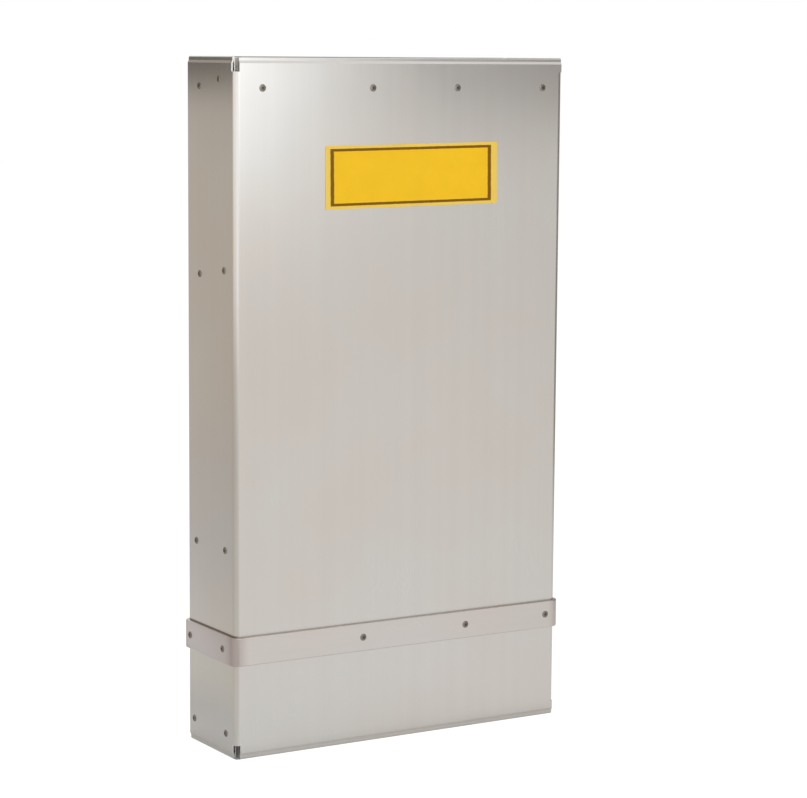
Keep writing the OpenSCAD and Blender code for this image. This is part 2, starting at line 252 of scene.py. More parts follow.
def brushed_steel(name, tone, finish, upright, ledge=None, corner=None):
    """Stainless sheet or bar, rolled and then brushed one way, upright or level. The eye sees fine streaks along
    the grain, highlights drawn out across it, and faint waves and smudges in the panels. At the level of a ledge,
    it also gets a thin line of painted shadow; a bar is pinkish brown towards its corners, and its side runs get
    painted shade."""
    made, tree = new_material(name)
    place = add(tree, "ShaderNodeTexCoord").outputs["Object"]
    # Brush marks are some 0.1 mm apart, which is too fine to show, so they are drawn about 2 mm apart.
    across, along = 1 / finish.grain, 1 / (220 * finish.grain)
    scale = (across, across, along) if upright else (along, along, across)
    marks = add(tree, "ShaderNodeMapping", {"Vector": place, "Scale": scale})
    streaks = add(tree, "ShaderNodeTexNoise", {"Vector": marks, "Scale": 1.0, "Detail": 3.0, "Roughness": 0.6})
    wide = add(tree, "ShaderNodeMapping", {"Vector": place, "Scale": [s / 6 for s in scale]})
    bands = add(tree, "ShaderNodeTexNoise", {"Vector": wide, "Scale": 1.0, "Detail": 2.0})
    cloud = add(tree, "ShaderNodeTexNoise", {"Vector": place, "Scale": 1 / 0.11, "Detail": 3.0, "Roughness": 0.5})
    waves = add(tree, "ShaderNodeTexNoise", {"Vector": place, "Scale": 1 / finish.panel, "Detail": 1.0})

    warm = (tone[0], tone[1] * 0.972, tone[2] * 0.94)
    cool = (tone[0] * 0.985, tone[1] * 0.993, tone[2] * 0.98)
    smudge = add(tree, "ShaderNodeMapRange", {"Value": cloud, "From Min": 0.35, "From Max": 0.65})
    base = add(tree, "ShaderNodeMix", {"Factor": smudge, "A": (*cool, 1), "B": (*warm, 1)}, data_type="RGBA")
    light = add(tree, "ShaderNodeValToRGB", {"Fac": streaks}, [(0.3, (0.984,) * 3), (0.7, (1.0,) * 3)])
    base = add(tree, "ShaderNodeMix", {"Factor": 1.0, "A": base, "B": light}, data_type="RGBA", blend_type="MULTIPLY")
    light = add(tree, "ShaderNodeValToRGB", {"Fac": bands}, [(0.3, (0.98,) * 3), (0.7, (1.0,) * 3)])
    base = add(tree, "ShaderNodeMix", {"Factor": 1.0, "A": base, "B": light}, data_type="RGBA", blend_type="MULTIPLY")

    if ledge or corner:
        normal = add(tree, "ShaderNodeNewGeometry").outputs["Normal"]
        faced = add(tree, "ShaderNodeSeparateXYZ", {"Vector": normal})
        sideways = add(tree, "ShaderNodeMath", {0: faced.outputs["X"]}, operation="ABSOLUTE")
    if ledge:
        # Painted shadow just above the stop collar's top: the line is some 1.5 mm high, and it is thickest on the two
        # side walls.
        level = add(tree, "ShaderNodeSeparateXYZ", {"Vector": place}).outputs["Z"]
        thin = add(tree, "ShaderNodeMapRange", {"Value": sideways, "To Min": 0.1, "To Max": 0.85})
        above = add(tree, "ShaderNodeMath", {0: level, 1: ledge}, operation="SUBTRACT")
        apart = add(tree, "ShaderNodeMath", {0: above}, operation="ABSOLUTE")
        # Painted shadow line: full within 0.8 mm of the ledge, gone at 1.8 mm.
        grime_and_shade = add(tree, "ShaderNodeMapRange", {"Value": apart, "From Min": 0.8 * MM, "From Max": 1.8 * MM,
                                                 "To Min": thin, "To Max": 0.0})
        base = add(tree, "ShaderNodeMix", {"Factor": grime_and_shade, "A": base, "B": (*linear("6e625a"), 1)}, data_type="RGBA")
    if corner:
        # The tint reaches some 15 mm from the corner, and it is uneven.
        mirrored = add(tree, "ShaderNodeVectorMath", {0: place}, operation="ABSOLUTE")
        flat = add(tree, "ShaderNodeVectorMath", {0: mirrored, 1: (1.0, 1.0, 0.0)}, operation="MULTIPLY")
        reach = add(tree, "ShaderNodeVectorMath", {0: flat, 1: (*corner, 0.0)}, operation="DISTANCE")
        ragged = add(tree, "ShaderNodeMapRange", {"Value": cloud, **SPREAD, "To Min": 8 * MM, "To Max": 22 * MM})
        tint = add(tree, "ShaderNodeMapRange", {"Value": reach.outputs["Value"], "From Min": 3 * MM,
                                                "From Max": ragged, "To Min": 0.5, "To Max": 0.0},
                   interpolation_type="SMOOTHSTEP")
        base = add(tree, "ShaderNodeMix", {"Factor": tint, "A": base, "B": (*linear("a3928e"), 1)}, data_type="RGBA")
        # Painted shade: the bar's two side runs are a little darker than its front.
        dull = add(tree, "ShaderNodeMapRange", {"Value": sideways, "From Min": 0.6})
        base = add(tree, "ShaderNodeMix", {"Factor": dull, "A": base, "B": (*linear("f6f4fa"), 1)},
                   data_type="RGBA", blend_type="MULTIPLY")
    polish = add(tree, "ShaderNodeMapRange", {"Value": cloud, **SPREAD, "To Min": finish.roughness - 0.02,
                                              "To Max": finish.roughness + 0.03})
    scuff = add(tree, "ShaderNodeMapRange", {"Value": streaks, **SPREAD, "To Min": -0.02, "To Max": 0.02})
    rough = add(tree, "ShaderNodeMath", {0: polish, 1: scuff}, operation="ADD")
    swell = add(tree, "ShaderNodeBump", {"Height": waves, "Strength": 1.0, "Distance": 0.14 * MM})
    relief = add(tree, "ShaderNodeBump", {"Height": bands, "Normal": swell, "Strength": 0.5, "Distance": 0.004 * MM})
    # The highlight is drawn out across the grain.
    if upright:
        face = add(tree, "ShaderNodeNewGeometry").outputs["Normal"]
        side = add(tree, "ShaderNodeVectorMath", {0: face, 1: (0, 0, 1)}, operation="CROSS_PRODUCT")
    else:
        side = add(tree, "ShaderNodeCombineXYZ", {"X": 0.03, "Y": 0.02, "Z": 1.0})
    shader = add(tree, "ShaderNodeBsdfPrincipled", {
        "Base Color": base, "Metallic": 1.0, "Roughness": rough, "Normal": relief,
        "Anisotropic": 0.5, "Tangent": side})
    add(tree, "ShaderNodeOutputMaterial", {"Surface": shader})
    return made


def dull_rivet(name, look):
    """Blind rivet of aluminium alloy, tumbled and gone dull. The eye sees a darker middle round the rusty steel stub,
    in a paler ring; that darker middle is painted shade of the pit and the domed head."""
    made, tree = new_material(name)
    place = add(tree, "ShaderNodeTexCoord").outputs["Object"]
    mark = add(tree, "ShaderNodeAttribute", attribute_name="stub").outputs["Fac"]
    # The second attribute marks the painted shade round the pit.
    pit_shade = add(tree, "ShaderNodeAttribute", attribute_name="pit_shade").outputs["Fac"]
    # The tumbling leaves dents and grime some 1.2 mm across.
    grime_and_shade = add(tree, "ShaderNodeTexNoise", {"Vector": place, "Scale": 1 / (1.2 * MM), "Detail": 3.0})
    dirt = add(tree, "ShaderNodeValToRGB", {"Fac": grime_and_shade}, [(0.3, tuple(c * 0.6 for c in look.metal)),
                                                            (0.7, tuple(look.metal))])
    pit_shaded = add(tree, "ShaderNodeMix", {"Factor": pit_shade, "A": dirt, "B": (*look.grime_and_shade, 1)}, data_type="RGBA")
    base = add(tree, "ShaderNodeMix", {"Factor": mark, "A": pit_shaded, "B": (*look.stub, 1)}, data_type="RGBA")
    relief = add(tree, "ShaderNodeBump", {"Height": grime_and_shade, "Strength": 0.4, "Distance": 0.05 * MM})
    rough = add(tree, "ShaderNodeMapRange", {"Value": grime_and_shade, **SPREAD, "To Min": 0.42, "To Max": 0.6})
    shader = add(tree, "ShaderNodeBsdfPrincipled", {
        "Base Color": base, "Metallic": 1.0, "Normal": relief, "Roughness": rough})
    add(tree, "ShaderNodeOutputMaterial", {"Surface": shader})
    return made


def sheet_rubber(name, tone, bloom):
    """Black rubber sheet, cured against cloth. The eye sees a fine tooth, a dull sheen and a grey bloom."""
    made, tree = new_material(name)
    place = add(tree, "ShaderNodeTexCoord").outputs["Object"]
    cloud = add(tree, "ShaderNodeTexNoise", {"Vector": place, "Scale": 1 / (35 * MM), "Detail": 5.0,
                                             "Roughness": 0.6})
    # The cloth's tooth is 0.6 mm apart and is drawn at that size.
    tooth = add(tree, "ShaderNodeTexNoise", {"Vector": place, "Scale": 1 / (0.6 * MM), "Detail": 2.0})
    dusty = add(tree, "ShaderNodeMapRange", {"Value": cloud, "From Min": 0.45, "From Max": 0.75, "To Max": 0.5})
    base = add(tree, "ShaderNodeMix", {"Factor": dusty, "A": (*tone, 1), "B": (*bloom, 1)}, data_type="RGBA")
    relief = add(tree, "ShaderNodeBump", {"Height": tooth, "Strength": 0.35, "Distance": 0.08 * MM})
    rough = add(tree, "ShaderNodeMapRange", {"Value": cloud, **SPREAD, "To Min": 0.55, "To Max": 0.75})
    shader = add(tree, "ShaderNodeBsdfPrincipled", {
        "Base Color": base, "Roughness": rough, "IOR": 1.52, "Normal": relief,
        "Sheen Weight": 0.08, "Sheen Roughness": 0.5})
    add(tree, "ShaderNodeOutputMaterial", {"Surface": shader})
    return made


def printed_vinyl(name, look, centre, size):
    """Self-adhesive vinyl with a printed border. The eye sees a saturated flat colour under a soft gloss."""
    made, tree = new_material(name)
    place = add(tree, "ShaderNodeTexCoord").outputs["Object"]
    centred = add(tree, "ShaderNodeVectorMath", {0: place, 1: tuple(-c for c in centre)})
    own = add(tree, "ShaderNodeMapping", {"Vector": centred, "Rotation": (0, look.tilt, 0)})
    printed = add(tree, "ShaderNodeVectorMath", {0: own, 1: (look.stray, 0.0, 0.0)})
    parts = add(tree, "ShaderNodeSeparateXYZ", {"Vector": printed}).outputs
    # Distance outside the middle of the border's line, along the plate and up it, as a share of the line's width.
    off = []
    for part, half, line in (("X", size[0] / 2 - look.margin_side, look.line_side),
                             ("Z", size[1] / 2 - look.margin_top, look.line_top)):
        away = add(tree, "ShaderNodeMath", {0: parts[part]}, operation="ABSOLUTE")
        beyond = add(tree, "ShaderNodeMath", {0: away, 1: half - line / 2}, operation="SUBTRACT")
        off.append(add(tree, "ShaderNodeMath", {0: beyond, 1: line}, operation="DIVIDE"))
    edge = add(tree, "ShaderNodeMath", {0: off[0], 1: off[1]}, operation="MAXIMUM")
    # The ink's edge wanders over some 2.5 mm.
    drift = add(tree, "ShaderNodeTexNoise", {"Vector": place, "Scale": 1 / (2.5 * MM), "Detail": 2.0})
    stray = add(tree, "ShaderNodeMapRange", {"Value": drift, **SPREAD, "To Min": -0.04, "To Max": 0.04})
    ragged = add(tree, "ShaderNodeMath", {0: edge, 1: stray}, operation="ADD")
    near = add(tree, "ShaderNodeMath", {0: ragged}, operation="ABSOLUTE")
    ink = add(tree, "ShaderNodeMapRange", {"Value": near, "From Min": 0.36, "From Max": 0.64,
                                           "To Min": 1.0, "To Max": 0.0}, interpolation_type="SMOOTHSTEP")
    outside = add(tree, "ShaderNodeMapRange", {"Value": edge, "From Min": 0.0, "From Max": 0.15})
    ground = add(tree, "ShaderNodeMix", {"Factor": outside, "A": (*look.field, 1), "B": (*look.rim, 1)},
                 data_type="RGBA")
    # The print has faded in clouds some 18 mm across.
    cloud = add(tree, "ShaderNodeTexNoise", {"Vector": place, "Scale": 1 / (18 * MM), "Detail": 3.0})
    fade = add(tree, "ShaderNodeValToRGB", {"Fac": cloud}, [(0.3, (0.96, 0.96, 0.94)), (0.7, (1.0,) * 3)])
    faded = add(tree, "ShaderNodeMix", {"Factor": 1.0, "A": ground, "B": fade},
                data_type="RGBA", blend_type="MULTIPLY")
    base = add(tree, "ShaderNodeMix", {"Factor": ink, "A": faded, "B": (*look.ink, 1)}, data_type="RGBA")
    # Trapped air lifts the film in blisters some 8 mm across.
    blister = add(tree, "ShaderNodeTexNoise", {"Vector": place, "Scale": 1 / (8 * MM), "Detail": 1.0})
    relief = add(tree, "ShaderNodeBump", {"Height": blister, "Strength": 0.5, "Distance": 0.1 * MM})
    rough = add(tree, "ShaderNodeMapRange", {"Value": cloud, **SPREAD, "To Min": 0.42, "To Max": 0.54})
    shader = add(tree, "ShaderNodeBsdfPrincipled", {
        "Base Color": base, "Roughness": rough, "IOR": 1.48, "Specular IOR Level": 0.2, "Normal": relief})
    add(tree, "ShaderNodeOutputMaterial", {"Surface": shader})
    return made


# ---------------------------------------------------------------- operators

class CHUTE_OT_sheet(bpy.types.Operator):
    """Gives the two shells, the angles and the strips their stainless"""
    bl_idname = "chute.sheet"
    bl_label = "Finish the stainless sheet"

    def execute(self, context):
        finish = context.scene.chute_sheet
        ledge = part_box("stop_collar")[1].z
        sheet = brushed_steel("stainless sheet, brushed upright", tuple(finish.sheet), finish, True, ledge)
        angle = brushed_steel("stainless angle, brushed lengthways", tuple(finish.angle), finish, False)
        dressed = {
            "front_shell": sheet, "rear_shell": sheet, "seal_angle_front": angle, "seal_angle_rear": angle,
            "clamp_strip_front": angle, "clamp_strip_rear": angle,
        }
        for name, material in dressed.items():
            NODES[name].data.materials.clear()
            NODES[name].data.materials.append(material)
        return {"FINISHED"}


class CHUTE_OT_strap(bpy.types.Operator):
    """Bends the stop collar from one length of flat bar, with a slit where its ends meet at the back"""
    bl_idname = "chute.strap"
    bl_label = "Bend the stop collar"

    def execute(self, context):
        look = context.scene.chute_strap
        low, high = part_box("stop_collar")
        outer = look.bend + look.thickness
        start_fresh()
        # The bar's section stands at the slit, with its two outer edges rounded.
        bpy.ops.mesh.primitive_plane_add(size=1, location=(0, 0, 0))
        bar = piece(context)
        middle = Vector((look.slit / 2, high.y - look.thickness / 2, (low.z + high.z) / 2))
        bar.data.transform(Matrix.Translation(middle) @ Matrix.Diagonal((1, look.thickness, high.z - low.z, 1))
                           @ Matrix.Rotation(math.pi / 2, 4, "Y"))
        edit()
        choose(bar, "VERT", lambda at: at.y > middle.y)
        bpy.ops.mesh.bevel(affect="VERTICES", offset=look.edge, segments=5)
        bpy.ops.mesh.select_mode(type="FACE")
        bpy.ops.mesh.select_all(action="SELECT")
        # Round the chute: right along the back, then side, front, side, and back to the slit.
        corners = [(high.x - outer, high.y - outer), (high.x - outer, low.y + outer),
                   (low.x + outer, low.y + outer), (low.x + outer, high.y - outer)]
        here = Vector((look.slit / 2, high.y - outer))
        for corner in corners:
            step = Vector(corner) - here
            self.pull(step)
            bpy.ops.mesh.spin(steps=10, angle=math.pi / 2, center=(*corner, 0), axis=(0, 0, 1))
            here = Vector(corner)
        self.pull(Vector((-look.slit / 2, here.y)) - here)
        bpy.ops.mesh.select_all(action="SELECT")
        bpy.ops.mesh.remove_doubles(threshold=0.001 * MM)
        bpy.ops.mesh.normals_make_consistent(inside=False)
        leave()
        steel = brushed_steel("stainless flat bar, drawn lengthways", tuple(look.bar), context.scene.chute_sheet,
                              False, corner=(high.x, high.y))
        finish_piece(bar, "strap", steel, "chute", ["stop_collar"], 35)
        return {"FINISHED"}

    def pull(self, step):
        """Draws the bar's end along a straight."""
        bpy.ops.mesh.extrude_region_move(TRANSFORM_OT_translate={"value": (step.x, step.y, 0)})


class CHUTE_OT_rivets(bpy.types.Operator):
    """Models the blind rivet and sets one in every hole"""
    bl_idname = "chute.rivets"
    bl_label = "Set the blind rivets"

    def execute(self, context):
        look = context.scene.chute_rivets
        metal = dull_rivet("aluminium rivet, tumbled and dulled", look)
        chance = random.Random(7)
        facing = {
            "front": (0, -1, 0), "rear": (0, 1, 0), "left": (-1, 0, 0), "right": (1, 0, 0), "up": (0, 0, 1),
        }
        rows = {
            "mouth_rivets_front": "front", "mouth_rivets_rear": "rear",
            "clamp_rivets_front": "up", "clamp_rivets_rear": "up",
            "left_rivets_front": "left", "left_rivets_rear": "left",
            "right_rivets_front": "right", "right_rivets_rear": "right",
            "collar_rivets_front": "front", "collar_rivets_rear": "rear",
            "collar_rivets_left": "left", "collar_rivets_right": "right",
        }
        for node, side in rows.items():
            out = Vector(facing[side])
            spots = self.spots(node, out, look)
            model = self.rivet(spots[0][1], look)
            copies = []
            for seat, _ in spots:
                copy = model.copy()
                copy.data = model.data.copy()
                context.collection.objects.link(copy)
                turn = out.to_track_quat("Z", "Y").to_matrix().to_4x4()
                spin = Matrix.Rotation(chance.uniform(0, math.tau), 4, "Z")
                copy.data.transform(Matrix.Translation(seat) @ turn @ spin)
                copies.append(copy)
            bpy.data.objects.remove(model)
            start_fresh()
            for copy in copies:
                copy.select_set(True)
            context.view_layer.objects.active = copies[0]
            bpy.ops.object.join()
            finish_piece(piece(context), "set_" + node, metal, "chute", [node], 40)
        return {"FINISHED"}

    def spots(self, node, out, look):
        """Seat and grip of each rivet in a node."""
        # No two rivets of a node stand nearer each other than this.
        apart = 15 * MM
        found = []
        for vertex in NODES[node].data.vertices:
            for group in found:
                if (vertex.co - group[0]).length < apart:
                    group.append(vertex.co.copy())
                    break
            else:
                found.append([vertex.co.copy()])
        spots = []
        for group in found:
            low = Vector([min(p[i] for p in group) for i in range(3)])
            high = Vector([max(p[i] for p in group) for i in range(3)])
            top = max(p.dot(out) for p in group)
            bottom = min(p.dot(out) for p in group)
            middle = (low + high) / 2
            seat = middle + out * (top - look.dome - middle.dot(out))
            spots.append((seat, top - bottom - look.dome - look.tail_length))
        return spots

    def rivet(self, grip, look):
        """One rivet, head up, seated on the origin. It is turned from a ring: each line is a radius and a height."""
        head, shank, tail, pit = look.head / 2, look.shank / 2, look.tail / 2, look.pit / 2
        dome, end = look.dome, -grip - look.tail_length
        profile = [
            (pit * 0.35, dome - 0.52 * MM), (pit * 0.7, dome - 0.48 * MM), (pit * 0.86, dome - 0.62 * MM),
            (pit * 0.9, dome - 0.75 * MM), (pit, dome - 0.7 * MM), (pit * 1.04, dome - 0.18 * MM),
            (pit * 1.2, dome - 0.02 * MM), (pit * 1.5, dome),
            (head * 0.56, dome * 0.93), (head * 0.72, dome * 0.79), (head * 0.86, dome * 0.56),
            (head * 0.95, dome * 0.34), (head, dome * 0.16), (head * 0.99, 0.02 * MM), (head * 0.96, 0.0),
            (shank, 0.0), (shank, -grip), (tail * 0.9, -grip - 0.1 * MM), (tail, -grip - 0.9 * MM),
            (tail * 0.97, end + 1.3 * MM), (tail * 0.8, end + 0.75 * MM), (tail * 0.56, end + 0.6 * MM),
            (tail * 0.55, end + 0.35 * MM), (tail * 0.4, end + 0.08 * MM), (tail * 0.2, end),
        ]
        start_fresh()
        radius, height = profile[0]
        bpy.ops.mesh.primitive_circle_add(vertices=look.sides, radius=radius, fill_type="NGON",
                                          location=(0, 0, height))
        made = piece(bpy.context)
        bpy.ops.object.transform_apply(location=True, rotation=True, scale=True)
        edit()
        choose(made, "EDGE", lambda a, b: True)
        for wide, high in profile[1:]:
            bpy.ops.mesh.extrude_edges_move(TRANSFORM_OT_translate={"value": (0, 0, high - height)})
            bpy.ops.transform.resize(value=(wide / radius, wide / radius, 1), center_override=(0, 0, high))
            radius, height = wide, high
        bpy.ops.mesh.edge_face_add()
        bpy.ops.mesh.select_all(action="SELECT")
        bpy.ops.mesh.normals_make_consistent(inside=False)
        leave()
        stub = made.data.attributes.new("stub", "FLOAT", "POINT")
        pit_shade = made.data.attributes.new("pit_shade", "FLOAT", "POINT")
        for vertex in made.data.vertices:
            reach = vertex.co.xy.length
            inner = reach < pit * 0.95 and vertex.co.z > 0
            stub.data[vertex.index].value = 1.0 if inner or vertex.co.z < end + 0.5 * MM else 0.0
            # Painted shade round the pit: full inside about half the head's radius, gone at 0.82 of it.
            pit_shade.data[vertex.index].value = min(1.0, max(0.0, (head * 0.82 - reach) / (head * 0.3)))
        return made


class CHUTE_OT_plate(bpy.types.Operator):
    """Models the blank notice plate with its printed border"""
    bl_idname = "chute.plate"
    bl_label = "Stick on the notice plate"

    def execute(self, context):
        look = context.scene.chute_plate
        low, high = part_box("notice_plate")
        # The box is that of the tilted plate, whose own width and height are worked out from it.
        span, c, s = high - low, math.cos(look.tilt), math.sin(look.tilt)
        width = (span.x * c - span.z * s) / (c * c - s * s)
        height = (span.z * c - span.x * s) / (c * c - s * s)
        centre = (low + high) / 2
        start_fresh()
        bpy.ops.mesh.primitive_plane_add(size=1, location=(0, 0, 0))
        plate = piece(context)
        edit()
        bpy.ops.transform.resize(value=(width, height, 1))
        bpy.ops.mesh.bevel(affect="VERTICES", offset=look.corner, segments=6)
        # The film is cut into small squares, so that it can lift.
        columns, rows = 24, 8
        for i in range(1, columns):
            bpy.ops.mesh.select_all(action="SELECT")
            bpy.ops.mesh.bisect(plane_co=(width * (i / columns - 0.5), 0, 0), plane_no=(1, 0, 0))
        for i in range(1, rows):
            bpy.ops.mesh.select_all(action="SELECT")
            bpy.ops.mesh.bisect(plane_co=(0, height * (i / rows - 0.5), 0), plane_no=(0, 1, 0))
        bpy.ops.mesh.select_all(action="SELECT")
        bpy.ops.mesh.extrude_region_move(TRANSFORM_OT_translate={"value": (0, 0, span.y)})
        bpy.ops.mesh.select_all(action="SELECT")
        bpy.ops.mesh.normals_make_consistent(inside=False)
        leave()
        # One corner has come unstuck a little.
        corner = Vector((width / 2, height / 2))
        for vertex in plate.data.vertices:
            near = max(0.0, 1 - (vertex.co.xy - corner).length / look.loose)
            vertex.co.z += look.lift * near * near
        plate.data.transform(Matrix.Translation((centre.x, high.y, centre.z))
                             @ Matrix.Rotation(math.pi / 2, 4, "X") @ Matrix.Rotation(look.tilt, 4, "Z"))
        vinyl = printed_vinyl("vinyl film, yellow, printed border", look, centre, (width, height))
        finish_piece(plate, "notice_film", vinyl, "chute", ["notice_plate", "notice_border"], 30)
        return {"FINISHED"}


class CHUTE_OT_seal(bpy.types.Operator):
    """Models the two rubber flaps, each one sheet from its clamped root to its free edge"""
    bl_idname = "chute.seal"
    bl_label = "Hang the rubber flaps"

    def execute(self, context):
        look = context.scene.chute_seal
        rubber = sheet_rubber("rubber sheet, black, cloth cured", tuple(look.rubber), tuple(look.bloom))
        for side, sign in (("front", 1), ("rear", -1)):
            root_low, root_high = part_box("flap_root_" + side)
            flap_low, flap_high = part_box("mouth_flap_" + side)
            low = Vector(map(min, root_low, flap_low))
            high = Vector(map(max, root_high, flap_high))
            ledge = root_high.y if sign > 0 else root_low.y
            size, middle = high - low, (low + high) / 2
            start_fresh()
            bpy.ops.mesh.primitive_cube_add(size=1, location=middle)
            flap = piece(context)
            bpy.ops.transform.resize(value=size)
            bpy.ops.object.transform_apply(location=True, rotation=True, scale=True)
            edit()
            bpy.ops.mesh.bevel(offset=look.bevel, segments=2)
            # Rows across the part that bends, one row further out, and columns along the flap.
            rows, columns, far = 12, 40, 18 * MM
            for i in range(rows + 1):
                bpy.ops.mesh.select_all(action="SELECT")
                bpy.ops.mesh.bisect(plane_co=(0, ledge + sign * look.bend * i / rows, 0), plane_no=(0, 1, 0))
            for i in range(1, columns):
                bpy.ops.mesh.select_all(action="SELECT")
                bpy.ops.mesh.bisect(plane_co=(low.x + size.x * i / columns, 0, 0), plane_no=(1, 0, 0))
            bpy.ops.mesh.select_all(action="SELECT")
            bpy.ops.mesh.bisect(plane_co=(0, ledge + sign * far, 0), plane_no=(0, 1, 0))
            leave()
            # The free part sags and ripples a little between the clamp and its edge.
            for vertex in flap.data.vertices:
                reach = max(0.0, (vertex.co.y - ledge) * sign / look.free)
                wave = math.sin(vertex.co.x * 41 + sign) * 0.5 + math.sin(vertex.co.x * 97 + 2 * sign) * 0.3
                vertex.co.z += reach * reach * (wave - 0.8) * look.sag
            finish_piece(flap, "rubber_flap_" + side, rubber, None,
                         ["flap_root_" + side, "mouth_flap_" + side], 40)
            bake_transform(flap)
        return {"FINISHED"}


class CHUTE_OT_stage(bpy.types.Operator):
    """Sets the floor, the lamps, the grey cards that the metal mirrors, and the camera"""
    bl_idname = "chute.stage"
    bl_label = "Set the stage"

    def execute(self, context):
        look = context.scene.chute_studio
        self.world(context, look)
        self.floor()
        self.cards()
        self.lamp("key lamp", (-1.6, -2.2, 2.2), (0, 0, 0.3), 1.6, look.key)
        self.lamp("fill lamp", (1.8, -1.8, 1.6), (0, 0, 0.3), 1.8, look.key * 0.5)
        self.camera(context, look)
        return {"FINISHED"}

    def world(self, context, look):
        """White where it is seen or mirrored, and an even grey light otherwise."""
        made = bpy.data.worlds.new("studio")
        context.scene.world = made
        made.use_nodes = True
        tree = made.node_tree
        tree.nodes.clear()
        strength = add(tree, "ShaderNodeMapRange", {"Value": self.seen(tree), "To Min": look.ambient, "To Max": 1.0})
        sky = add(tree, "ShaderNodeBackground", {"Color": (1, 1, 1, 1), "Strength": strength})
        add(tree, "ShaderNodeOutputWorld", {"Surface": sky})

    def seen(self, tree):
        """1 for rays that come from the camera, or by way of metal or glass."""
        path = add(tree, "ShaderNodeLightPath").outputs
        seen = add(tree, "ShaderNodeMath", {0: path["Is Camera Ray"], 1: path["Is Glossy Ray"]}, operation="MAXIMUM")
        return add(tree, "ShaderNodeMath", {0: seen, 1: path["Is Transmission Ray"]}, operation="MAXIMUM")

    def floor(self):
        """White paper that keeps a faint shadow. It hardly glows where the chute stands on it."""
        start_fresh()
        radius = 12
        bpy.ops.mesh.primitive_circle_add(vertices=64, radius=radius, fill_type="NGON", location=(0, 0, 0))
        floor = bpy.context.object
        floor.name = "floor"
        made, tree = new_material("white paper floor")
        spot = add(tree, "ShaderNodeTexCoord").outputs["Object"]
        parts = add(tree, "ShaderNodeSeparateXYZ", {"Vector": spot}).outputs
        low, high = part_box("front_shell")
        # Distance outside the chute's foot, a little of which counts as outside already.
        off = []
        for part, half in (("X", high.x - 2 * MM), ("Y", -low.y - 2 * MM)):
            away = add(tree, "ShaderNodeMath", {0: parts[part]}, operation="ABSOLUTE")
            off.append(add(tree, "ShaderNodeMath", {0: away, 1: half}, operation="SUBTRACT"))
        outside = add(tree, "ShaderNodeMath", {0: off[0], 1: off[1]}, operation="MAXIMUM")
        open_air = add(tree, "ShaderNodeMath", {0: outside, 1: 0.0}, operation="GREATER_THAN")
        # In the metal, the floor is darker beside the chute and in its corner with it, and lighter far away.
        reach = add(tree, "ShaderNodeVectorMath", {0: spot}, operation="LENGTH").outputs["Value"]
        share_out = add(tree, "ShaderNodeMath", {0: reach, 1: 3 / radius}, operation="MULTIPLY")
        mirrored = add(tree, "ShaderNodeValToRGB", {"Fac": share_out}, [
            (0.03, linear("bfc3c7")), (0.06, linear("c5c9ce")), (0.2, linear("bec0c2")), (0.35, linear("b6b6b6")),
            (1.0, linear("d5d5d5"))])
        beside = add(tree, "ShaderNodeMapRange", {"Value": parts["X"], "From Min": -0.24, "From Max": -0.14,
                                                  "To Min": 0.45, "To Max": 1.0})
        shade = add(tree, "ShaderNodeMapRange", {"Value": outside, "From Min": 0.0, "From Max": 0.04, "To Min": 0.5})
        mirrored = add(tree, "ShaderNodeVectorMath", {0: mirrored, "Scale": beside}, operation="SCALE")
        slant = add(tree, "ShaderNodeVectorMath", {0: spot, 1: (1.0, 0.6, 0.0)}, operation="DOT_PRODUCT")
        aslant = add(tree, "ShaderNodeMapRange", {"Value": slant.outputs["Value"], "From Min": 0.0, "From Max": 0.26,
                                                  "To Min": 1.0, "To Max": 0.88})
        mirrored = add(tree, "ShaderNodeVectorMath", {0: mirrored, "Scale": shade}, operation="SCALE")
        mirrored = add(tree, "ShaderNodeVectorMath", {0: mirrored, "Scale": aslant}, operation="SCALE")
        straight = add(tree, "ShaderNodeLightPath").outputs["Is Camera Ray"]
        tone = add(tree, "ShaderNodeMix", {"Factor": straight, "A": mirrored, "B": (0.7, 0.7, 0.7, 1)},
                   data_type="RGBA")
        # Only a little of the light reaches the floor inside the chute.
        dim = add(tree, "ShaderNodeMath", {0: open_air, 1: 0.09}, operation="MAXIMUM")
        shine = add(tree, "ShaderNodeMath", {0: dim, 1: self.seen(tree)}, operation="MULTIPLY")
        lit = add(tree, "ShaderNodeBsdfDiffuse", {"Color": (0.5, 0.5, 0.5, 1)})
        glow = add(tree, "ShaderNodeEmission", {"Color": tone, "Strength": shine})
        both = add(tree, "ShaderNodeAddShader", {0: lit, 1: glow})
        # From below, the floor is clear, so that the chute's foot can be seen.
        below = add(tree, "ShaderNodeNewGeometry").outputs["Backfacing"]
        clear = add(tree, "ShaderNodeBsdfTransparent")
        sided = add(tree, "ShaderNodeMixShader", {0: below, 1: both, 2: clear})
        add(tree, "ShaderNodeOutputMaterial", {"Surface": sided})
        floor.data.materials.append(made)

